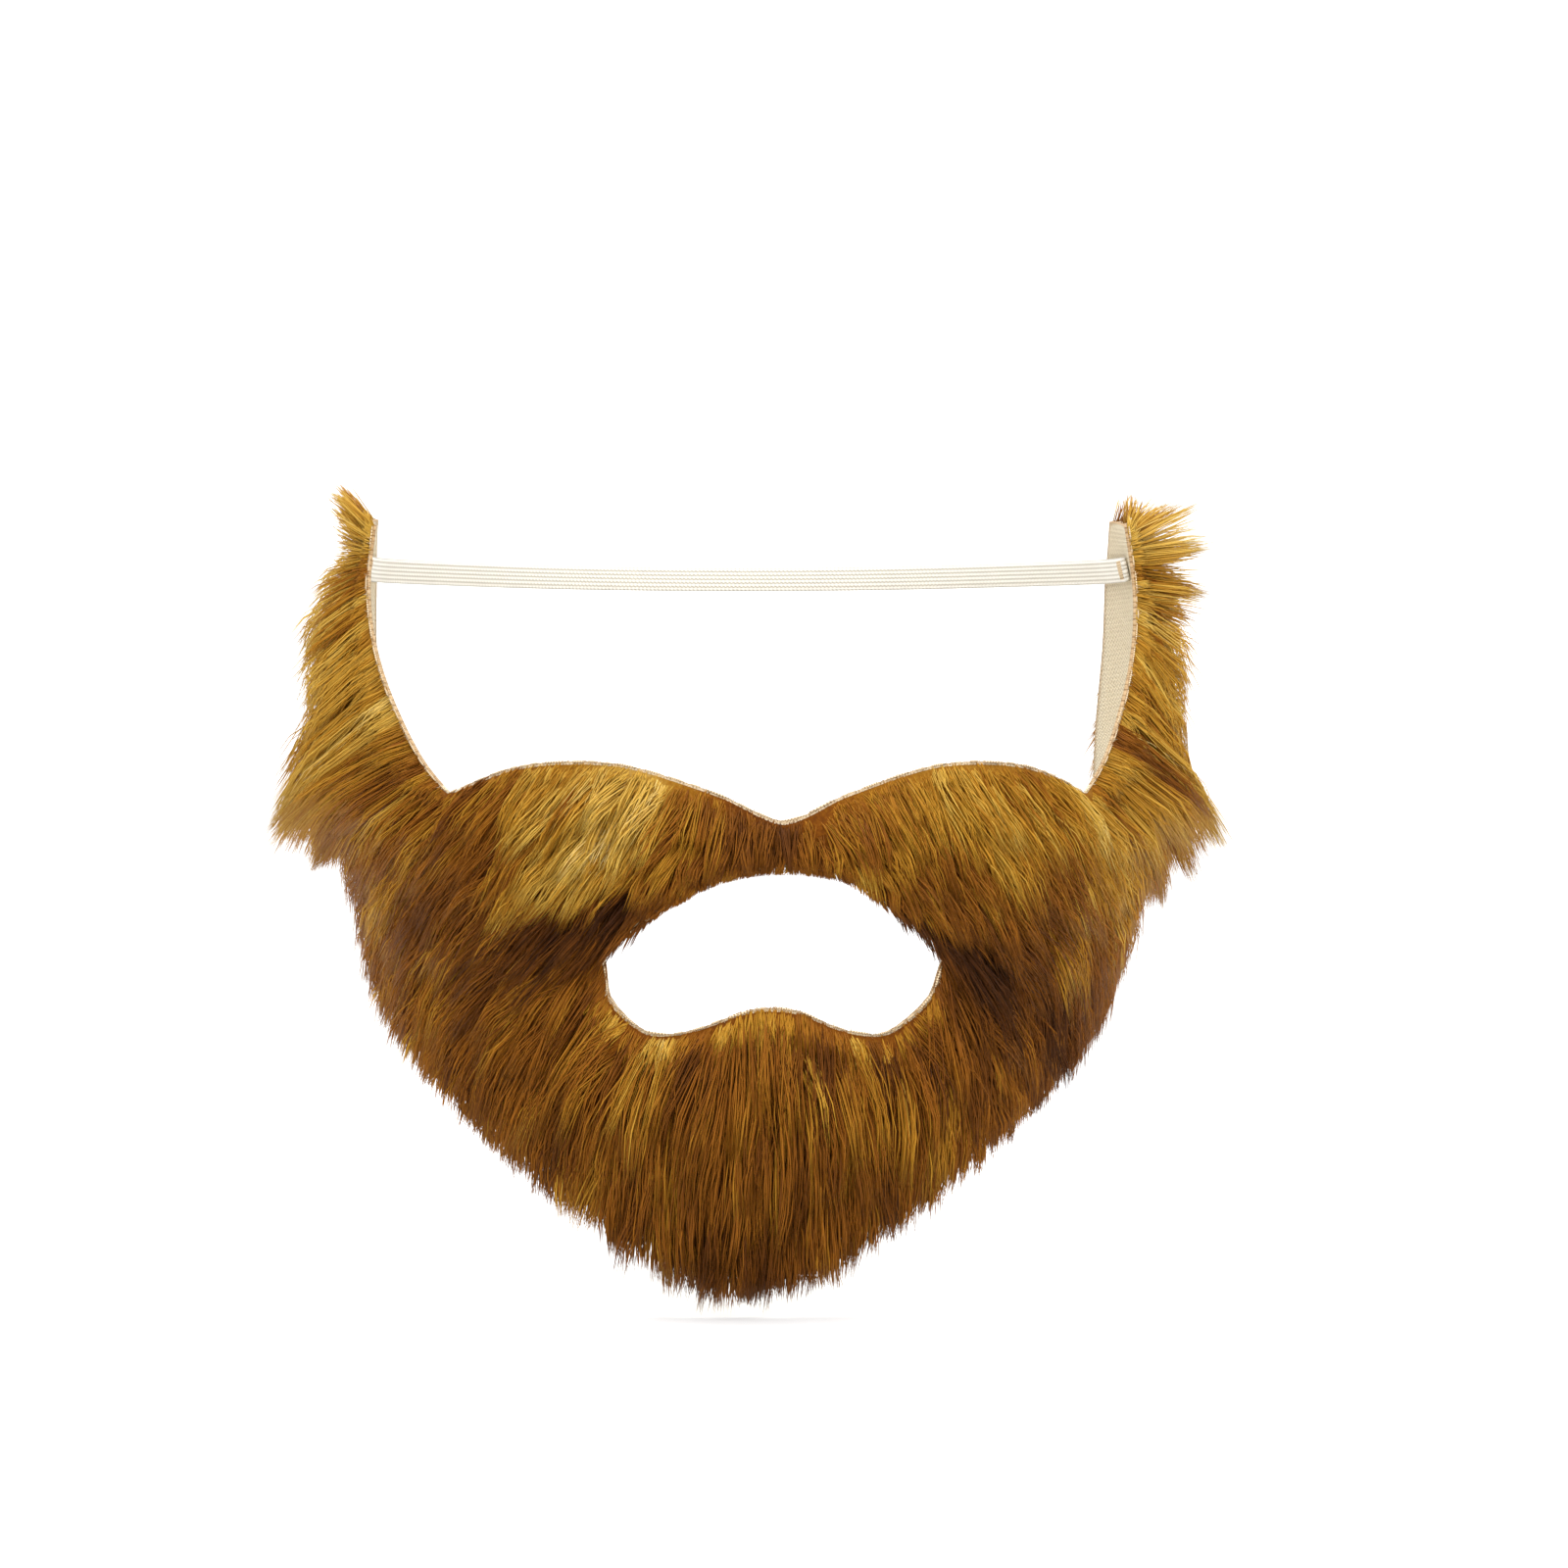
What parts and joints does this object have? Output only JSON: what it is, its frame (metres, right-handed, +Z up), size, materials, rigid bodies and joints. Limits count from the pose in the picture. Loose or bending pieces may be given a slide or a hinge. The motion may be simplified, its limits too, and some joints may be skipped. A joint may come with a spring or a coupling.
{
  "type": "fake beard",
  "caption": "Full ginger fancy-dress beard with moustache, mouth hole and sideburns, cut from fur cloth and worn on an elastic round the back of the head.",
  "frame": {"origin": "inner face of the cloth in the middle of the moustache, where it lies on the wearer's upper lip", "axes": "+Y from the beard into the wearer's head, +Z up, +X to the viewer's right of someone who looks at the beard's front"},
  "size_m": [0.1884, 0.1993, 0.1579],
  "materials": {
    "backing_cloth": "matt knitted ground cloth",
    "fur_pile": "soft ginger pile, lightly shiny along the hairs",
    "elastic_strap": "matt woven elastic"
  },
  "bodies": {
    "root": {"backing_cloth": "backing_cloth", "fur_pile": "fur_pile", "elastic_strap": "elastic_strap"}
  },
  "joints": []
}
